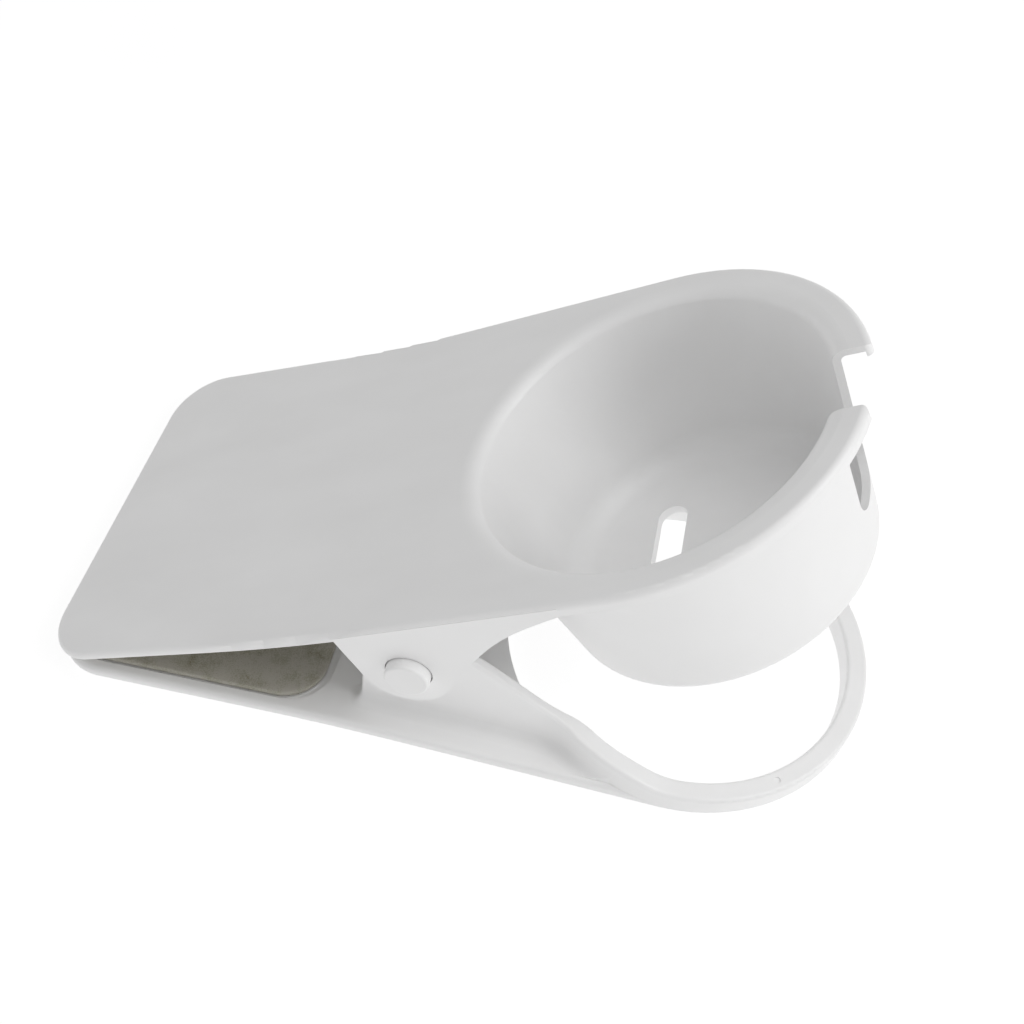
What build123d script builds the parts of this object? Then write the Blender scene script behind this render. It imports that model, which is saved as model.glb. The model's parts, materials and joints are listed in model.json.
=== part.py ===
"""Desk clamp cup holder: two sprung jaws on one pin, a cup on the upper jaw and a ring on the lower jaw.

Both jaws are drawn about the hinge pin, with x towards the cup, y along the pin and z up.
At the end the lower jaw is set down on the table and the upper jaw is swung shut on it.
Millimetres.
"""
import os
from math import acos, atan2, cos, degrees, hypot, radians, sin, sqrt, tan

from build123d import *

os.makedirs("parts", exist_ok=True)

# Upper jaw and cup
cup_x = 59.4                # pin to cup axis
rim_top = 16.4              # rim above the pin
rim_radius = 54.0           # also half the width of the plate
upper_tip_x = -104.6
upper_bend_x = -28.0
upper_bend_angle = 5.7
upper_thickness = 1.8
upper_corner = 16.0
skirt_depth = 3.3           # turned-down edge from the ears round the rim
skirt_width = 1.8
rim_edge_round = 1.6
cup_depth = 51.4
cup_outer_top = 46.65
cup_outer_bottom = 41.95
cup_wall = 2.1
cup_floor = 2.5
cup_outer_round = 3.8
cup_inner_round = 7.0
cup_root_round = 1.5        # under the rim
mouth_width = 4.4           # the mouth curves in over this width
mouth_drop = 3.0
handle_slot_width = 19.0
handle_slot_depth = 36.0
handle_slot_round = 6.0
lip_end_round = 1.5
floor_slot_x = -14.0        # from the cup axis
floor_slot_width = 8.4
floor_slot_length = 37.0

# Ears of the upper jaw
ear_left = -12.6
ear_thickness = 3.0
ear_radius = 11.5
ear_wrap = 130.0            # turn of the ear's round end
ear_sweep = [(19.0, 1.3), (28.9, 7.3), (47.0, 13.1)]
ear_sweep_slope = 0.25      # where it runs out under the rim
ear_boss_radius = 6.6
ear_bore = 3.68
counterbore = 5.9
counterbore_depth = 1.2

# Lower jaw and ring
ring_x = 68.0               # pin to ring centre
ring_base = -38.84          # underside of the ring below the pin
ring_outer = 52.0           # also half the width of the plate
ring_inner = 46.3
ring_height = 6.95
wall_edge_round = 1.1
plate_top_round = 1.8
plate_under_round = 0.8
plate_edge_radius = 50.2    # plate edge under the cup, about the ring centre
lower_tip_x = -98.5
lower_bend_x = -20.9
lower_bend_angle = 4.3
lower_thickness = 3.0
lower_corner = 14.0
bend_radius = 480.0
wall_outer = 43.0
wall_thickness = 3.3
wall_start_x = -14.2
wall_start_z = -10.0
wall_start_round = 0.6
wall_lobe = 8.0
wall_lobe_wrap = 140.0
wall_blend = 16.0
wall_cove = 3.5             # hollow between the walls and the plate
fall_start_z = -2.9
fall_slope = -0.66
fall_points = [(26.5, -15.4), (38.0, -22.9), (50.2, -26.8), (60.0, -29.0)]
fall_end_x = 74.0
gate_mark_angle = -53.3     # sprue witness on top of the ring, turned from the long axis
gate_mark_radius = 0.9
gate_mark_depth = 0.35

# Pads
upper_recess_depth = 0.6
lower_recess_depth = 0.8
recess_end_x = -23.3
recess_half_width = 48.8
recess_corner = 12.0
pad_gap = 0.6
pad_end_gap = 1.9
pad_thickness = 1.95
tape_thickness = 0.25
recess_tip_margin = 2.0

# Hinge pin, springs and bobbins
rod_radius = 2.0
rod_half_length = 49.0
cap_shank = 3.6
cap_head_radius = 5.6
cap_proud = 2.8
cap_seat = 0.15             # head clear of the bottom of the counterbore
cap_end_round = 0.7
hub_fit = 0.02              # parts pressed together
side_gap = 0.3              # ear boss to side wall
spring_wire = 0.9           # wire radius
spring_radius = 7.2         # coil, to the middle of the wire
spring_pitch = 2.1
spring_full_turns = 4
spring_start_y = 4.0
bobbin_radius = 5.6
bobbin_flange = 9.0
bobbin_flange_thickness = 1.5
bobbin_outer_flange_y = 17.0
bobbin_middle_gap = 0.15    # from the middle of the rod
bobbin_wall_gap = 0.1
rest_x = 14.0               # where the lower legs bear on the lower jaw
rest_z = -13.0
rest_half_width = 6.0
rest_foot = 12.0
rest_top = 4.0
rest_nose = 1.0
rest_slope = 0.34           # the legs lie along it
rest_drop = 1.0             # top of the rest below the middle of the wire
lift_x = 10.5               # where the upper legs bear under the plate
lift_gap = 0.1

# Poses
closed_angle = 33.8         # rim to ring with the jaws shut
table_angle = 1.5           # the lower jaw stands on its tip and the end of its ring

slack = 5.0                 # blanks run past the outlines that trim them


def layer_edge(outer_z, side, bend_x, angle, tip_x, distance):
    """Corner points of a bent layer's edge, at a distance in from the jaw's outer face."""
    far_z = outer_z + side * distance
    corner_x = bend_x - distance * tan(radians(angle) / 2)
    run = corner_x - tip_x + slack
    return [(cup_x, far_z), (corner_x, far_z), (corner_x - run, far_z - side * run * tan(radians(angle)))]


def layer_face(outer_z, side, bend_x, angle, tip_x, near, far):
    """Side view of a layer of a jaw, between two distances in from its outer face."""
    with BuildLine() as outline:
        first = FilletPolyline(*layer_edge(outer_z, side, bend_x, angle, tip_x, near), radius=bend_radius)
        second = FilletPolyline(*layer_edge(outer_z, side, bend_x, angle, tip_x, far), radius=bend_radius)
        Line(first @ 0, second @ 0)
        Line(first @ 1, second @ 1)
    make_face(outline.edges())


upper = (rim_top, -1, upper_bend_x, upper_bend_angle, upper_tip_x)
lower = (ring_base, 1, lower_bend_x, lower_bend_angle, lower_tip_x)


def tip_outline(tip_x, end_x, half_width, corner):
    """Plan of a plate with two rounded corners at the jaw tip."""
    with BuildLine() as outline:
        FilletPolyline(
            (end_x, -half_width),
            (tip_x, -half_width),
            (tip_x, half_width),
            (end_x, half_width),
            radius=corner,
        )
        Line((end_x, half_width), (end_x, -half_width))
    make_face(outline.edges())


def pad_outline(tip_x, margin):
    """Plan of the pad's recess, or of the pad that lies in it."""
    start = tip_x + recess_tip_margin + margin
    end = recess_end_x - margin * pad_end_gap / pad_gap
    half = recess_half_width - margin
    with Locations(((start + end) / 2, 0)):
        RectangleRounded(end - start, 2 * half, recess_corner - margin)


def pad_layer(layer, near, far, margin):
    """Slab between two distances in from a jaw's outer face, as wide as the recess less a margin."""
    with BuildSketch(Plane.XZ) as side:
        layer_face(*layer, near, far)
    extrude(side.sketch, amount=rim_radius, both=True)
    with BuildSketch(Plane.XY.offset(2 * ring_base)) as plan:
        pad_outline(layer[-1], margin)
    extrude(plan.sketch, amount=-4 * ring_base, mode=Mode.INTERSECT)


def rim_outline(inset, mode=Mode.ADD):
    """Plan of the round rim and the straight sides that run out of it as far as the ears."""
    half = rim_radius - inset
    with Locations((cup_x, 0)):
        Circle(half, mode=mode)
        Rectangle(cup_x - ear_left, 2 * half, align=(Align.MAX, Align.CENTER), mode=mode)


def faces_up(face):
    """True for the top faces of a plate, bent or flat."""
    return face.normal_at().Z > 0.9


def faces_down(face):
    """True for the under faces of a plate, bent or flat."""
    return face.normal_at().Z < -0.9


def border(patch):
    """Edges round a patch of faces, without the seams inside it."""
    edges = patch.edges()
    return [edge for edge in edges if sum(edge.is_same(other) for other in edges) == 1]


cup_axis = Axis((cup_x, 0, 0), (0, 0, 1))
cup_bottom = rim_top - cup_depth
cup_taper = (cup_outer_top - cup_outer_bottom) / cup_depth
floor_level = cup_bottom + cup_floor
inner_bottom = cup_outer_bottom + cup_taper * cup_floor - cup_wall
ear_top = rim_top - upper_thickness / 2

with BuildPart() as skirt:
    with BuildSketch(Plane.XY.offset(rim_top - skirt_depth)):
        rim_outline(0)
        rim_outline(skirt_width, Mode.SUBTRACT)
    extrude(amount=skirt_depth)

mouth_radius = cup_outer_top - cup_wall
wall_bottom = ring_base - slack
wall_root = ring_base + lower_thickness / 2
ear_face = Plane.XZ.offset(rim_radius)

# Upper jaw: bent plate, round rim, cup, ears
with BuildPart() as upper_recess:
    pad_layer(upper, upper_thickness - upper_recess_depth, upper_thickness + slack, 0)

with BuildSketch() as lip_plan:
    with Locations((cup_x, 0)):
        Circle(rim_radius)
    with Locations((cup_x + rim_radius, 0)):
        Rectangle(rim_radius, handle_slot_width, mode=Mode.SUBTRACT)
    fillet(lip_plan.vertices().group_by(Axis.X)[-1], lip_end_round)

with BuildPart() as upper_jaw:
    with BuildSketch(Plane.XZ):
        layer_face(*upper, 0, upper_thickness)
    extrude(amount=rim_radius, both=True)
    with BuildSketch(Plane.XY.offset(-slack)):
        tip_outline(upper_tip_x, cup_x, rim_radius, upper_corner)
    extrude(amount=rim_radius, mode=Mode.INTERSECT)
    with BuildSketch(Plane.XY.offset(rim_top - upper_thickness)):
        with Locations((cup_x, 0)):
            Circle(rim_radius)
    extrude(amount=upper_thickness)
    add(skirt.part)
    fillet(border(upper_jaw.faces().filter_by(faces_up)), rim_edge_round)

    # Cup
    with BuildSketch(Plane.XZ):
        with BuildLine():
            Polyline(
                (cup_x, rim_top - rim_edge_round),
                (cup_x + cup_outer_top, rim_top - rim_edge_round),
                (cup_x + cup_outer_bottom, cup_bottom),
                (cup_x, cup_bottom),
                close=True,
            )
        make_face()
    revolve(axis=cup_axis)
    fillet(upper_jaw.faces().sort_by(Axis.Z)[0].outer_wire().edges(), cup_outer_round)
    with BuildSketch(Plane.XZ):
        with BuildLine():
            mouth = EllipticalCenterArc(
                (cup_x + mouth_radius + mouth_width, rim_top - mouth_drop),
                mouth_width,
                mouth_drop,
                start_angle=90,
                arc_size=90,
            )
            Polyline(
                mouth @ 0,
                (cup_x, rim_top),
                (cup_x, floor_level),
                (cup_x + inner_bottom, floor_level),
                mouth @ 1,
            )
        make_face()
    revolve(axis=cup_axis, mode=Mode.SUBTRACT)
    circles = upper_jaw.edges().filter_by(GeomType.CIRCLE)
    fillet(circles.filter_by_position(Axis.Z, floor_level, floor_level), cup_inner_round)
    under_rim = rim_top - upper_thickness
    roots = circles.filter_by_position(Axis.Z, under_rim, under_rim)
    fillet([edge for edge in roots if edge.radius < cup_outer_top], cup_root_round)

    # Slots in the cup
    with BuildSketch(Plane.XY.offset(cup_bottom)):
        with Locations((cup_x + floor_slot_x, 0)):
            SlotOverall(floor_slot_length, floor_slot_width, rotation=90)
    extrude(amount=cup_floor, mode=Mode.SUBTRACT)
    with BuildSketch(Plane.YZ.offset(cup_x + inner_bottom - slack)):
        with Locations((0, rim_top - handle_slot_depth)):
            slot_height = handle_slot_depth + handle_slot_round + slack
            slot_align = (Align.CENTER, Align.MIN)
            RectangleRounded(handle_slot_width, slot_height, handle_slot_round, align=slot_align)
    extrude(amount=rim_radius, mode=Mode.SUBTRACT)

    # Ears
    with BuildSketch(ear_face):
        with BuildLine():
            ear_turn = JernArc((ear_left, 0), (0, -1), ear_radius, ear_wrap)
            ear_rise = Spline(ear_turn @ 1, *ear_sweep, tangents=[ear_turn % 1, (1, ear_sweep_slope)])
            Polyline(ear_rise @ 1, (ear_sweep[-1][0], ear_top), (ear_left, ear_top), (ear_left, 0))
        make_face()
    extrude(amount=-ear_thickness)
    with BuildSketch(ear_face.offset(-ear_thickness)):
        Circle(ear_boss_radius)
    extrude(amount=wall_outer + side_gap - rim_radius + ear_thickness)
    mirror(about=Plane.XZ)
    pin_line = Plane.XZ.offset(rim_radius)
    with BuildSketch(pin_line):
        Circle(ear_bore)
    extrude(amount=-2 * rim_radius, mode=Mode.SUBTRACT)
    with BuildSketch(pin_line, Plane.XZ.offset(counterbore_depth - rim_radius)):
        Circle(counterbore)
    extrude(amount=-counterbore_depth, mode=Mode.SUBTRACT)
    add(upper_recess.part, mode=Mode.SUBTRACT)
    with BuildSketch(Plane.XY.offset(rim_top - skirt_depth)):
        with Locations((cup_x + rim_radius, 0)):
            Rectangle(2 * handle_slot_width / 3, 2 * handle_slot_width)
        add(lip_plan.sketch, mode=Mode.SUBTRACT)
    extrude(amount=skirt_depth, mode=Mode.SUBTRACT)

# Lower jaw: bent plate, side walls that run into the ring, spring rest
with BuildPart() as lower_recess:
    pad_layer(lower, lower_thickness - lower_recess_depth, lower_thickness + slack, 0)

with BuildPart() as side_walls:
    with BuildSketch(Plane.XY.offset(wall_bottom)):
        with Locations((ring_x, 0)):
            Circle(ring_outer)
            Rectangle(ring_x - wall_start_x, 2 * wall_outer, align=(Align.MAX, Align.CENTER))
        fillet([v for v in vertices() if wall_start_x + slack < v.X < ring_x], wall_blend)
        fillet([v for v in vertices() if v.X < wall_start_x + slack], wall_start_round)
    extrude(amount=-wall_bottom + 2 * wall_lobe)
    with BuildSketch(Plane.XY.offset(wall_bottom)):
        wall_inner = wall_outer - wall_thickness
        with Locations((ring_x, 0)):
            Circle(ring_inner)
            Rectangle(ring_x - wall_start_x + slack, 2 * wall_inner, align=(Align.MAX, Align.CENTER))
        fillet([v for v in vertices() if wall_start_x + slack < v.X < ring_x], wall_blend)
    extrude(amount=-wall_bottom + 2 * wall_lobe, mode=Mode.SUBTRACT)
    with BuildSketch(Plane.XZ):
        with BuildLine():
            lobe = JernArc((wall_lobe, 0), (0, 1), wall_lobe, wall_lobe_wrap)
            shoulder = Spline(lobe @ 1, (wall_start_x, wall_start_z), tangents=[lobe % 1, (0, -1)])
            fall_start = (wall_lobe, fall_start_z)
            fall = Spline(
                fall_start,
                *fall_points,
                (fall_end_x, ring_base + ring_height),
                tangents=[(1, fall_slope), (1, 0)],
            )
            Polyline(
                fall @ 1,
                (ring_x + ring_outer, ring_base + ring_height),
                (ring_x + ring_outer, wall_root),
                (wall_start_x, wall_root),
                shoulder @ 1,
            )
            Line(fall_start, lobe @ 0)
        make_face()
    extrude(amount=ring_outer, both=True, mode=Mode.INTERSECT)
    facing_up = side_walls.faces().filter_by(lambda face: face.normal_at().Z > 0.3)
    slopes = facing_up.filter_by(lambda face: face.center().X > wall_lobe)
    fillet([edge for edge in border(slopes) if edge.length > wall_thickness], wall_edge_round)

with BuildPart() as coves:
    wide = ring_outer + 3 * wall_cove
    with BuildSketch(Plane.XZ):
        layer_face(*lower, lower_thickness / 2, lower_thickness)
    extrude(amount=wide, both=True)
    with BuildSketch(Plane.XY.offset(wall_root)):
        with Locations((ring_x, 0)):
            Circle(wide)
            Rectangle(ring_x - cup_x + slack, 2 * wide, align=(Align.MAX, Align.CENTER))
    extrude(amount=lower_thickness / 2)
    with BuildSketch(Plane.XY.offset(wall_root + lower_thickness / 4)):
        with Locations((ring_x, 0)):
            Circle(ring_outer)
            Rectangle(ring_x - wall_start_x, 2 * wall_outer, align=(Align.MAX, Align.CENTER))
        fillet([v for v in vertices() if wall_start_x + slack < v.X < ring_x], wall_blend)
        fillet([v for v in vertices() if v.X < wall_start_x + slack], wall_start_round)
    extrude(amount=lower_thickness / 4 + 2 * wall_cove)
    fillet(coves.edges(Select.NEW), wall_cove)
    # Only the hollow along the outside of the walls is kept, as far as the rounded edge of the plate
    inset = ring_outer - plate_top_round
    with BuildSketch(Plane.XY.offset(wall_root)):
        with Locations((ring_x, 0)):
            Circle(inset)
            Rectangle(ring_x - wall_start_x + 2 * wall_cove, 2 * inset, align=(Align.MAX, Align.CENTER))
            Circle(ring_inner + wall_cove / 2, mode=Mode.SUBTRACT)
        Rectangle(2 * ring_x, 2 * wall_inner, mode=Mode.SUBTRACT)
        with Locations((wall_start_x + wall_start_round, 0)):
            inner_width = 2 * wall_inner + wall_cove / 2
            Rectangle(2 * ring_x, inner_width, align=(Align.MIN, Align.CENTER), mode=Mode.SUBTRACT)
    extrude(amount=lower_thickness / 2 + wall_cove, mode=Mode.INTERSECT)

with BuildPart() as lower_jaw:
    with BuildSketch(Plane.XZ):
        layer_face(*lower, 0, lower_thickness)
    extrude(amount=ring_outer, both=True)
    with BuildSketch(Plane.XY.offset(2 * ring_base)):
        tip_outline(lower_tip_x, cup_x, ring_outer, lower_corner)
    extrude(amount=-2 * ring_base, mode=Mode.INTERSECT)
    with BuildSketch(Plane.XY.offset(ring_base)):
        with Locations((ring_x, 0)):
            Circle(ring_outer)
            Rectangle(ring_x - cup_x + slack, 2 * ring_outer, align=(Align.MAX, Align.CENTER))
    extrude(amount=lower_thickness)
    fillet(border(lower_jaw.faces().filter_by(faces_down)), plate_under_round)
    fillet(border(lower_jaw.faces().filter_by(faces_up)), plate_top_round)
    with BuildSketch(Plane.XY.offset(ring_base - slack)):
        with Locations((ring_x, 0)):
            Circle(ring_inner)
        with BuildSketch(mode=Mode.PRIVATE) as cup_clearance:
            with Locations((ring_x, 0)):
                Circle(plate_edge_radius)
            Rectangle(ring_x, 2 * wall_inner, align=(Align.MIN, Align.CENTER), mode=Mode.INTERSECT)
        add(cup_clearance.sketch)
    extrude(amount=ring_height + slack, mode=Mode.SUBTRACT)
    add(side_walls.part)
    add(coves.part)
    add(lower_recess.part, mode=Mode.SUBTRACT)
    with BuildSketch(Plane.XZ):
        with BuildLine():
            Polyline(
                (rest_x - rest_foot, ring_base + lower_thickness / 2),
                (rest_x + rest_nose, ring_base + lower_thickness / 2),
                (rest_x + rest_nose, rest_z - rest_drop - rest_slope * rest_nose),
                (rest_x - rest_top, rest_z - rest_drop + rest_slope * rest_top),
                close=True,
            )
        make_face()
    extrude(amount=rest_half_width, both=True)
    with BuildSketch(Plane.XZ):
        Circle(cap_shank + hub_fit)
    extrude(amount=ring_outer, both=True, mode=Mode.SUBTRACT)
    with BuildSketch(Plane.XY.offset(ring_base + ring_height - gate_mark_depth)):
        with Locations((ring_x, 0)):
            with PolarLocations((ring_inner + ring_outer) / 2, 1, gate_mark_angle):
                Circle(gate_mark_radius)
    extrude(amount=gate_mark_depth, mode=Mode.SUBTRACT)

# Pads and their tape
upper_pad_top = upper_thickness - upper_recess_depth + tape_thickness
lower_pad_base = lower_thickness - lower_recess_depth + tape_thickness

with BuildPart() as upper_pad:
    pad_layer(upper, upper_pad_top, upper_pad_top + pad_thickness, pad_gap)

with BuildPart() as upper_tape:
    pad_layer(upper, upper_pad_top - tape_thickness, upper_pad_top, pad_gap)

with BuildPart() as lower_pad:
    pad_layer(lower, lower_pad_base, lower_pad_base + pad_thickness, pad_gap)

with BuildPart() as lower_tape:
    pad_layer(lower, lower_pad_base - tape_thickness, lower_pad_base, pad_gap)

# Hinge pin: steel rod with a plastic cap on each end
with BuildPart() as axle_rod:
    with BuildSketch(Plane.XZ):
        Circle(rod_radius)
    extrude(amount=rod_half_length, both=True)

with BuildPart() as near_pin_cap:
    head_under = counterbore_depth - cap_seat
    with BuildSketch(Plane.XZ.offset(rim_radius + cap_proud)):
        Circle(cap_head_radius)
    extrude(amount=-cap_proud - head_under)
    fillet(near_pin_cap.edges().sort_by(Axis.Y)[0], cap_end_round)
    with BuildSketch(Plane.XZ.offset(rim_radius)):
        Circle(cap_shank)
    extrude(amount=wall_inner - rim_radius)
    with BuildSketch(Plane.XZ.offset(rod_half_length + hub_fit)):
        Circle(rod_radius + hub_fit)
    extrude(amount=-rod_half_length, mode=Mode.SUBTRACT)

with BuildPart() as far_pin_cap:
    add(near_pin_cap.part)
    mirror(about=Plane.XZ, mode=Mode.REPLACE)

# Torsion springs on bobbins
closed = Rotation(0, -closed_angle, 0)


def tangent_angle(reach_x, reach_z, turn):
    """Angle round the coil where a leg to the given point leaves it."""
    return degrees(atan2(reach_z, reach_x)) + turn * degrees(acos(spring_radius / hypot(reach_x, reach_z)))


lift_z = rim_top - upper_thickness - spring_wire - lift_gap
lift_point = closed * Location((lift_x, 0, lift_z))
lift = lift_point.position
lower_leg_angle = tangent_angle(rest_x, rest_z, -1)
upper_leg_angle = tangent_angle(lift.X, lift.Z, 1)
coil_turn = 360 * spring_full_turns + (lower_leg_angle - upper_leg_angle) % 360
start_direction = (cos(radians(lower_leg_angle)), 0, sin(radians(lower_leg_angle)))
coil_plane = Plane(origin=(0, spring_start_y, 0), x_dir=start_direction, z_dir=(0, 1, 0))
lower_leg = sqrt(rest_x**2 + rest_z**2 - spring_radius**2)
upper_leg = sqrt(lift.X**2 + lift.Z**2 - spring_radius**2)

coil = coil_plane.location * Helix(spring_pitch, spring_pitch * coil_turn / 360, spring_radius)

with BuildPart() as far_spring:
    with BuildLine() as wire:
        add(coil)
        Line(coil @ 0 - (coil % 0) * lower_leg, coil @ 0)
        Line(coil @ 1, coil @ 1 + (coil % 1) * upper_leg)
    with BuildSketch(Plane(origin=wire.wire() @ 0, z_dir=wire.wire() % 0)):
        Circle(spring_wire)
    sweep(path=wire.wire(), is_frenet=True)

with BuildPart() as near_spring:
    add(far_spring.part)
    mirror(about=Plane.XZ, mode=Mode.REPLACE)

with BuildPart() as far_bobbin:
    with BuildSketch(Plane.XZ.offset(-bobbin_middle_gap)):
        Circle(bobbin_radius)
    extrude(amount=bobbin_middle_gap + bobbin_wall_gap - wall_inner)
    flange_planes = [Plane.XZ.offset(-bobbin_middle_gap), Plane.XZ.offset(-bobbin_outer_flange_y)]
    with BuildSketch(*flange_planes):
        Circle(bobbin_flange)
    extrude(amount=-bobbin_flange_thickness)
    with BuildSketch(Plane.XZ):
        Circle(rod_radius + hub_fit)
    extrude(amount=-rim_radius, mode=Mode.SUBTRACT)

with BuildPart() as near_bobbin:
    add(far_bobbin.part)
    mirror(about=Plane.XZ, mode=Mode.REPLACE)

# The lower jaw stands on the table, the upper jaw closes on it
table = Location((0, 0, 0), (0, table_angle, 0))
standing = (table * lower_jaw.part).bounding_box()
shut = (table * closed * upper_jaw.part).bounding_box()
middle_x = (min(standing.min.X, shut.min.X) + max(standing.max.X, shut.max.X)) / 2
lower_place = Location((-middle_x, 0, -standing.min.Z)) * table
upper_place = lower_place * closed

pieces = {
    "upper_jaw": (upper_jaw, upper_place),
    "upper_pad": (upper_pad, upper_place),
    "upper_pad_tape": (upper_tape, upper_place),
    "lower_jaw": (lower_jaw, lower_place),
    "lower_pad": (lower_pad, lower_place),
    "lower_pad_tape": (lower_tape, lower_place),
    "axle_rod": (axle_rod, lower_place),
    "near_pin_cap": (near_pin_cap, lower_place),
    "far_pin_cap": (far_pin_cap, lower_place),
    "near_torsion_spring": (near_spring, lower_place),
    "far_torsion_spring": (far_spring, lower_place),
    "near_spring_bobbin": (near_bobbin, lower_place),
    "far_spring_bobbin": (far_bobbin, lower_place),
}
for name, (piece, place) in pieces.items():
    solid = place * piece.part
    solid.label = name
    export_step(solid, f"parts/{name}.step")
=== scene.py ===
"""Looks of the desk clamp cup holder: plastics, foam, steel, floor, light and camera. Metres."""
import json
import math
import bmesh
import bpy
from mathutils import Matrix, Vector, noise


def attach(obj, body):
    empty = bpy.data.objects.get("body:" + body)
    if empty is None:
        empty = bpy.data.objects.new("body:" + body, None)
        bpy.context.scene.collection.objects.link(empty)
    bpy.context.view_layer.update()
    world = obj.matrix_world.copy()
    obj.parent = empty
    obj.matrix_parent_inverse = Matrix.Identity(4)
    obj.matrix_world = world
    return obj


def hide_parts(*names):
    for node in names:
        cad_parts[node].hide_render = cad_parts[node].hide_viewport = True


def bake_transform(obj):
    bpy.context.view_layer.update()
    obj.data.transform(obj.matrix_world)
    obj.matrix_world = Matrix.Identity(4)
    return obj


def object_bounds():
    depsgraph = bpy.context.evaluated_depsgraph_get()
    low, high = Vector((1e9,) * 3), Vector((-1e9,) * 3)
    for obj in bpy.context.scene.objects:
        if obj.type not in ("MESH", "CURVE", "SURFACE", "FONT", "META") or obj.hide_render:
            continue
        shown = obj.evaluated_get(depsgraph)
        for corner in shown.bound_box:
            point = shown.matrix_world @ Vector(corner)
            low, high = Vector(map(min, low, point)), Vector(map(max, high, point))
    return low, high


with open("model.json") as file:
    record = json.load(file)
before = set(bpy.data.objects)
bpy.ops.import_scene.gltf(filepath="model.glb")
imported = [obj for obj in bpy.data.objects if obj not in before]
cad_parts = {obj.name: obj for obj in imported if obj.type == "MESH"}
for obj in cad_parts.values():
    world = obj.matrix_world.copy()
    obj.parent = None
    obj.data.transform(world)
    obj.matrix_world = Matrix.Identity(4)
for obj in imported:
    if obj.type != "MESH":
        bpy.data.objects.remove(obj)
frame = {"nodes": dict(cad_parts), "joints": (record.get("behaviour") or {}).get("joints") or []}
cad_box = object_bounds()
scene = bpy.context.scene

MM = 0.001

# ---------------------------------------------------------------- node helpers


class Nodes:
    """A material's node tree, with short calls for the nodes it is built from."""

    def __init__(self, name):
        self.material = bpy.data.materials.new(name)
        self.material.use_nodes = True
        self.tree = self.material.node_tree
        self.tree.nodes.clear()
        self.output = self.tree.nodes.new("ShaderNodeOutputMaterial")
        self.coordinates = self.tree.nodes.new("ShaderNodeTexCoord").outputs["Object"]

    def make(self, kind, inputs=None, **settings):
        node = self.tree.nodes.new("ShaderNode" + kind)
        for key, value in settings.items():
            setattr(node, key, value)
        for key, value in (inputs or {}).items():
            if isinstance(value, bpy.types.NodeSocket):
                self.tree.links.new(value, node.inputs[key])
            else:
                node.inputs[key].default_value = value
        return node

    def noise(self, scale, detail=3.0, stretch=(1, 1, 1), roughness=0.5):
        place = self.make("Mapping", {"Vector": self.coordinates, "Scale": stretch})
        return self.make(
            "TexNoise",
            {"Vector": place.outputs[0], "Scale": scale, "Detail": detail, "Roughness": roughness},
        ).outputs["Fac"]

    def cells(self, scale):
        return self.make(
            "TexVoronoi", {"Vector": self.coordinates, "Scale": scale}
        ).outputs["Distance"]

    def ramp(self, factor, stops):
        node = self.make("ValToRGB", {"Fac": factor})
        elements = node.color_ramp.elements
        while len(elements) < len(stops):
            elements.new(0.5)
        for element, (position, colour) in zip(elements, stops):
            element.position = position
            element.color = (*colour, 1)
        return node.outputs["Color"]

    def span(self, value, low, high, start=0.0, end=1.0):
        return self.make(
            "MapRange",
            {"Value": value, "From Min": start, "From Max": end, "To Min": low, "To Max": high},
        ).outputs["Result"]

    def sum(self, first, second, share=1.0):
        return self.make(
            "Math", {0: second, 1: share, 2: first}, operation="MULTIPLY_ADD"
        ).outputs[0]

    def bump(self, height, depth, strength=1.0):
        return self.make(
            "Bump", {"Height": height, "Distance": depth, "Strength": strength}
        ).outputs["Normal"]

    def finish(self, shader):
        self.tree.links.new(shader.outputs[0], self.output.inputs["Surface"])
        return self.material


def grey(value, warmth=0.0):
    return (value * (1 + warmth), value, value * (1 - warmth))


def moulded_plastic(name, base, shine):
    """Satin white ABS: fine spark texture and faint flow mottle."""
    n = Nodes(name)
    flow = n.noise(28, 4, (1.0, 2.2, 1.0))
    grain = n.noise(5200, 2)
    orange_peel = n.noise(900, 2)
    colour = n.ramp(flow, [(0.3, grey(base * 0.975, 0.002)), (0.7, grey(base * 1.01, 0.001))])
    rough = n.span(n.sum(flow, grain, 0.5), shine - 0.05, shine + 0.07, 0.5, 1.0)
    relief = n.sum(grain, orange_peel, 1.5)
    shader = n.make(
        "BsdfPrincipled",
        {
            "Base Color": colour,
            "Roughness": rough,
            "IOR": 1.52,
            "Specular IOR Level": 0.5,
            "Normal": n.bump(relief, 0.00001, 0.5),
        },
    )
    return n.finish(shader)


def foam(name):
    """Dark EVA foam: open cells of two sizes and cloudy colour."""
    n = Nodes(name)
    clouds = n.noise(190, 5, roughness=0.6)
    cells = n.cells(2600)
    fine = n.noise(6000, 3)
    mottle = n.sum(clouds, cells, 0.35)
    colour = n.ramp(
        mottle,
        [
            (0.36, (0.225, 0.213, 0.146)),
            (0.52, (0.345, 0.330, 0.258)),
            (0.74, (0.470, 0.452, 0.400)),
        ],
    )
    relief = n.sum(cells, fine, 0.4)
    shader = n.make(
        "BsdfPrincipled",
        {
            "Base Color": colour,
            "Roughness": n.span(clouds, 0.78, 0.95),
            "Sheen Weight": 0.15,
            "Sheen Roughness": 0.5,
            "Specular IOR Level": 0.3,
            "Normal": n.bump(relief, 0.00012, 0.8),
        },
    )
    return n.finish(shader)


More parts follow.
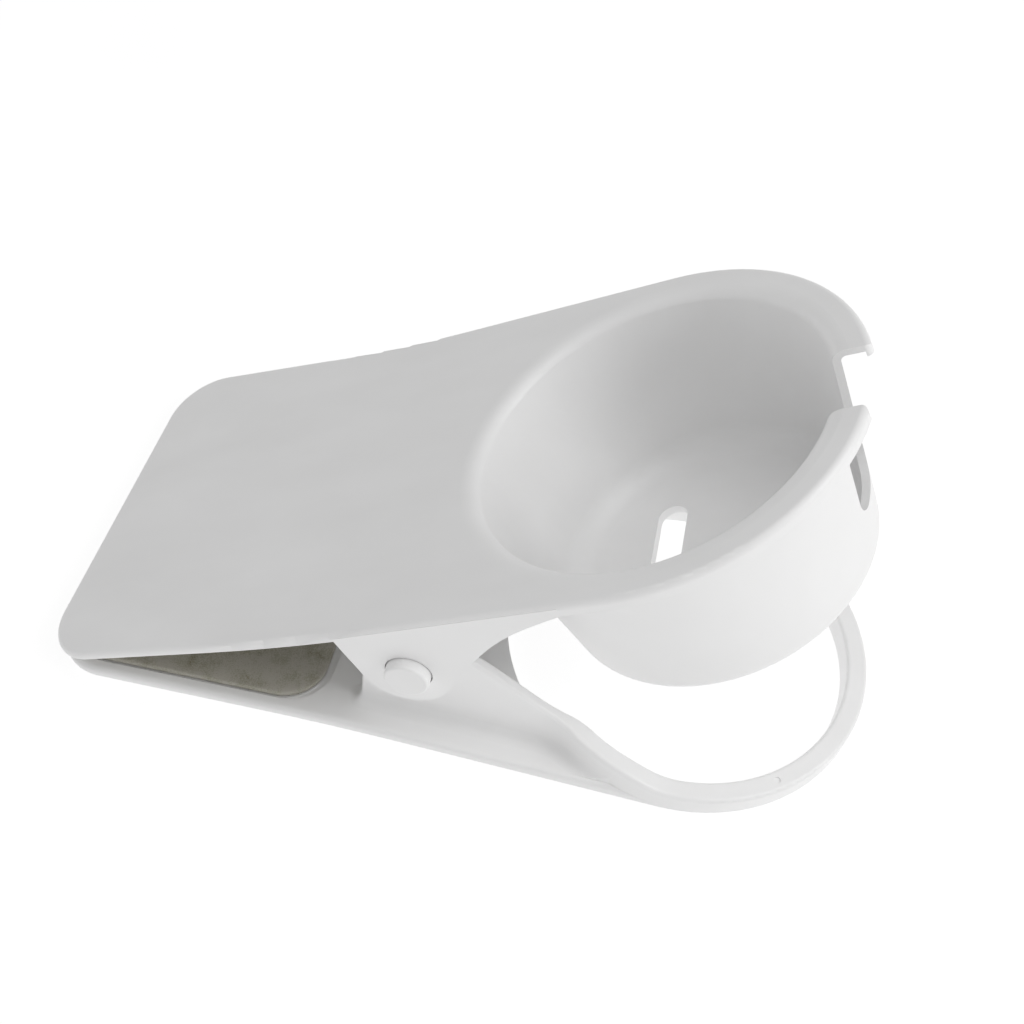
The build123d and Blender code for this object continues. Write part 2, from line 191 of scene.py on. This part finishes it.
def steel(name, tint, roughness, stretch, scale):
    """Bright steel with drawing lines along or round the piece."""
    n = Nodes(name)
    lines = n.noise(scale, 4, stretch)
    spots = n.noise(700, 3)
    worn = n.sum(lines, spots, 0.4)
    colour = n.ramp(lines, [(0.3, grey(tint * 0.82, 0.01)), (0.7, grey(tint, 0.005))])
    shader = n.make(
        "BsdfPrincipled",
        {
            "Base Color": colour,
            "Metallic": 1.0,
            "Roughness": n.span(worn, roughness - 0.06, roughness + 0.12, 0.4, 1.0),
            "Normal": n.bump(lines, 0.00002, 0.6),
        },
    )
    return n.finish(shader)


def tape_skin(name):
    """White acrylic tape carrier with trapped bubbles."""
    n = Nodes(name)
    bubbles = n.cells(900)
    colour = n.ramp(bubbles, [(0.05, grey(0.62)), (0.3, grey(0.74, 0.01))])
    shader = n.make(
        "BsdfPrincipled",
        {
            "Base Color": colour,
            "Roughness": n.span(bubbles, 0.25, 0.5),
            "Normal": n.bump(bubbles, 0.00002, 0.5),
        },
    )
    return n.finish(shader)


white = moulded_plastic("white_abs", 0.90, 0.36)
cap_white = moulded_plastic("cap_abs", 0.87, 0.30)
bobbin_white = moulded_plastic("bobbin_acetal", 0.80, 0.42)
finish_of = {
    "white_plastic": white,
    "cap_plastic": cap_white,
    "bobbin_plastic": bobbin_white,
    "pad_foam": foam("eva_foam"),
    "tape": tape_skin("tape_carrier"),
    "spring_steel": steel("spring_wire", 0.46, 0.32, (1, 1, 1), 2400),
    "rod_steel": steel("turned_steel", 0.62, 0.26, (1, 30, 1), 400),
}
node_slots = {
    "upper_jaw": "white_plastic",
    "lower_jaw": "white_plastic",
    "near_pin_cap": "cap_plastic",
    "far_pin_cap": "cap_plastic",
    "near_spring_bobbin": "bobbin_plastic",
    "far_spring_bobbin": "bobbin_plastic",
    "upper_pad_tape": "tape",
    "lower_pad_tape": "tape",
    "axle_rod": "rod_steel",
    "upper_pad": "pad_foam",
    "lower_pad": "pad_foam",
    "near_torsion_spring": "spring_steel",
    "far_torsion_spring": "spring_steel",
}
for node, slot in node_slots.items():
    for place in frame["nodes"][node].material_slots:
        place.material = finish_of[slot]

# ---------------------------------------------------------------- foam pads

PAD_VOXEL = 0.55 * MM
PAD_ROUNDING = 4            # smoothing passes over the cut edges
CELL_DEPTH = 0.05 * MM
CELL_SCALE = 900            # cells along a metre
SMALL_CELL = 2.3            # times as many small cells
SMALL_SHARE = 0.6
SKIN_SET_BACK = 0.6         # of the cell depth, so that the pad stays inside its solid


def smooth(mesh):
    for face in mesh.polygons:
        face.use_smooth = True


def link(name, mesh, material):
    mesh.materials.clear()
    mesh.materials.append(material)
    smooth(mesh)
    piece = bpy.data.objects.new(name, mesh)
    scene.collection.objects.link(piece)
    return piece


def applied(piece):
    """Puts the result of a piece's modifiers into its mesh."""
    graph = bpy.context.evaluated_depsgraph_get()
    mesh = bpy.data.meshes.new_from_object(piece.evaluated_get(graph))
    piece.modifiers.clear()
    piece.data = mesh


def foam_pad(name, node, body):
    """A die-cut foam sheet with softened cut edges and an open-celled skin."""
    pad = link(name, frame["nodes"][node].data.copy(), finish_of["pad_foam"])
    remesh = pad.modifiers.new("remesh", "REMESH")
    remesh.mode = "VOXEL"
    remesh.voxel_size = PAD_VOXEL
    soften = pad.modifiers.new("soften", "SMOOTH")
    soften.factor = 0.5
    soften.iterations = PAD_ROUNDING
    applied(pad)
    skin = [(vertex.co.copy(), vertex.normal.copy()) for vertex in pad.data.vertices]
    moved = []
    for place, outward in skin:
        large = noise.noise(place * CELL_SCALE)
        cells = large + SMALL_SHARE * noise.noise(place * CELL_SCALE * SMALL_CELL)
        moved.extend(place - outward * CELL_DEPTH * (SKIN_SET_BACK + cells))
    pad.data.vertices.foreach_set("co", moved)
    pad.data.update()
    smooth(pad.data)
    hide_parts(node)
    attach(pad, body)


foam_pad("upper_foam_pad", "upper_pad", "upper_clamp")
foam_pad("lower_foam_pad", "lower_pad", "lower_clamp")

# ---------------------------------------------------------------- torsion springs

pin = Vector(frame["joints"][0]["pos_m"])
TABLE_TILT = math.radians(1.5)
CLOSED = math.radians(33.8)
WIRE = 0.9 * MM
COIL = 7.2 * MM
PITCH = 2.1 * MM
FULL_TURNS = 4
COIL_START = 4.0 * MM
REST = Vector((14.0, 0, -13.0)) * MM        # where the lower leg bears, from the pin
LIFT = Vector((10.5, 0, 13.6)) * MM         # where the upper leg bears, in the upper jaw's frame
WIRE_SIDES = 14
STEPS_PER_TURN = 40
LEG_STEPS = 12
NIP_WIDTH = 0.72            # of the wire, at its cut ends
NIP_LENGTH = 0.3            # of the wire's radius


def tangent_angle(point, side):
    """Angle round the coil where a leg to a point leaves it."""
    return math.atan2(point.z, point.x) + side * math.acos(COIL / math.hypot(point.x, point.z))


def spring_path(side):
    """Middle of the wire: lower leg, coil, upper leg. Side is 1 for the far spring, -1 for the near."""
    lift = Matrix.Rotation(-CLOSED, 3, "Y") @ LIFT
    first = tangent_angle(REST, -1)
    turn = FULL_TURNS * math.tau + (first - tangent_angle(lift, 1)) % math.tau
    rise = PITCH / math.tau
    steps = round(STEPS_PER_TURN * turn / math.tau)
    coil = []
    for i in range(steps + 1):
        a = turn * i / steps
        x = COIL * math.cos(first - a)
        z = COIL * math.sin(first - a)
        coil.append(Vector((x, COIL_START + rise * a, z)))
    lower_run = math.sqrt(REST.length_squared - COIL**2)
    upper_run = math.sqrt(lift.length_squared - COIL**2)
    lower_end = coil[0] + (coil[0] - coil[1]).normalized() * lower_run
    upper_end = coil[-1] + (coil[-1] - coil[-2]).normalized() * upper_run
    lower_leg = [lower_end.lerp(coil[0], i / LEG_STEPS) for i in range(LEG_STEPS)]
    upper_leg = [coil[-1].lerp(upper_end, (i + 1) / LEG_STEPS) for i in range(LEG_STEPS)]
    path = lower_leg + coil + upper_leg
    tilt = Matrix.Rotation(TABLE_TILT, 3, "Y")
    return [pin + tilt @ Vector((p.x, side * p.y, p.z)) for p in path]


def wire_mesh(name, path, radius, sides):
    """A round wire along a path, its ends nipped off with a small chamfer."""
    build = bmesh.new()
    rings = []
    normal = Vector((0, 1, 0))
    last = len(path) - 1
    for i, point in enumerate(path):
        along = (path[min(i + 1, last)] - path[max(i - 1, 0)]).normalized()
        normal = (normal - along * normal.dot(along)).normalized()
        across = along.cross(normal)
        spots = [(0.0, 1.0)]
        if i == 0:
            spots = [(0.0, NIP_WIDTH), (NIP_LENGTH, 1.0)]
        if i == last:
            spots = [(-NIP_LENGTH, 1.0), (0.0, NIP_WIDTH)]
        for shift, size in spots:
            centre = point + along * shift * radius
            ring = []
            for k in range(sides):
                a = math.tau * k / sides
                outward = normal * math.cos(a) + across * math.sin(a)
                ring.append(build.verts.new(centre + outward * radius * size))
            rings.append(ring)
    for one, two in zip(rings, rings[1:]):
        for k in range(sides):
            build.faces.new((one[k], one[(k + 1) % sides], two[(k + 1) % sides], two[k]))
    build.faces.new(list(reversed(rings[0])))
    build.faces.new(rings[-1])
    bmesh.ops.recalc_face_normals(build, faces=build.faces)
    mesh = bpy.data.meshes.new(name)
    build.to_mesh(mesh)
    build.free()
    return mesh


def torsion_spring(name, node, side):
    path = spring_path(side)
    spring = link(name, wire_mesh(name, path, WIRE, WIRE_SIDES), finish_of["spring_steel"])
    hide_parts(node)
    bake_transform(spring)


torsion_spring("near_spring_wire", "near_torsion_spring", -1)
torsion_spring("far_spring_wire", "far_torsion_spring", 1)

# ---------------------------------------------------------------- floor, light, camera

FLOOR_GLOW = 0.86
FLOOR_HALF_WIDTH = 6.0
FLOOR_GAP = 0.0001          # under the lowest point of the object
SKY = 0.41
AIM = (0.0, 0.0, 0.05)      # the lights point at the middle of the object
LENS = 44.38
SENSOR = 36.0
CAMERA_PLACE = (0.02673, -0.21132, 0.29979)
CAMERA_DEGREES = (39.41, -5.02, 12.15)

def stage_floor():
    """A pale lit sheet, flat under the object and a long way round it."""
    n = Nodes("pale_floor")
    tone = n.ramp(n.noise(9, 3), [(0.3, grey(0.20)), (0.7, grey(0.22))])
    shader = n.make(
        "BsdfPrincipled",
        {
            "Base Color": tone,
            "Roughness": 0.9,
            "Specular IOR Level": 0.1,
            "Emission Color": (1, 1, 1, 1),
            "Emission Strength": FLOOR_GLOW,
        },
    )
    material = n.finish(shader)
    mesh = bpy.data.meshes.new("floor")
    build = bmesh.new()
    bmesh.ops.create_grid(build, x_segments=24, y_segments=24, size=FLOOR_HALF_WIDTH)
    build.to_mesh(mesh)
    build.free()
    mesh.materials.append(material)
    floor = bpy.data.objects.new("floor", mesh)
    scene.collection.objects.link(floor)
    floor.location.z = cad_box[0].z - FLOOR_GAP


def soft_light(name, power, size, place):
    lamp = bpy.data.lights.new(name, "AREA")
    lamp.shape = "DISK"
    lamp.size = size
    lamp.energy = power
    holder = bpy.data.objects.new(name, lamp)
    scene.collection.objects.link(holder)
    holder.location = place
    holder.rotation_euler = (Vector(AIM) - Vector(place)).to_track_quat("-Z", "Y").to_euler()


stage_floor()
soft_light("key", power=6.2, size=0.8, place=(1.05, -0.20, 0.95))
soft_light("overhead", power=3.3, size=1.0, place=(0.13, -0.13, 1.3))

world = bpy.data.worlds.new("studio")
world.use_nodes = True
world.node_tree.nodes["Background"].inputs["Color"].default_value = (1, 1, 1, 1)
world.node_tree.nodes["Background"].inputs["Strength"].default_value = SKY
scene.world = world
scene.view_settings.view_transform = "Standard"

lens = bpy.data.cameras.new("camera")
lens.lens = LENS
lens.sensor_width = SENSOR
lens.clip_start = 0.01
camera = bpy.data.objects.new("camera", lens)
scene.collection.objects.link(camera)
camera.location = CAMERA_PLACE
camera.rotation_euler = [math.radians(angle) for angle in CAMERA_DEGREES]
scene.camera = camera
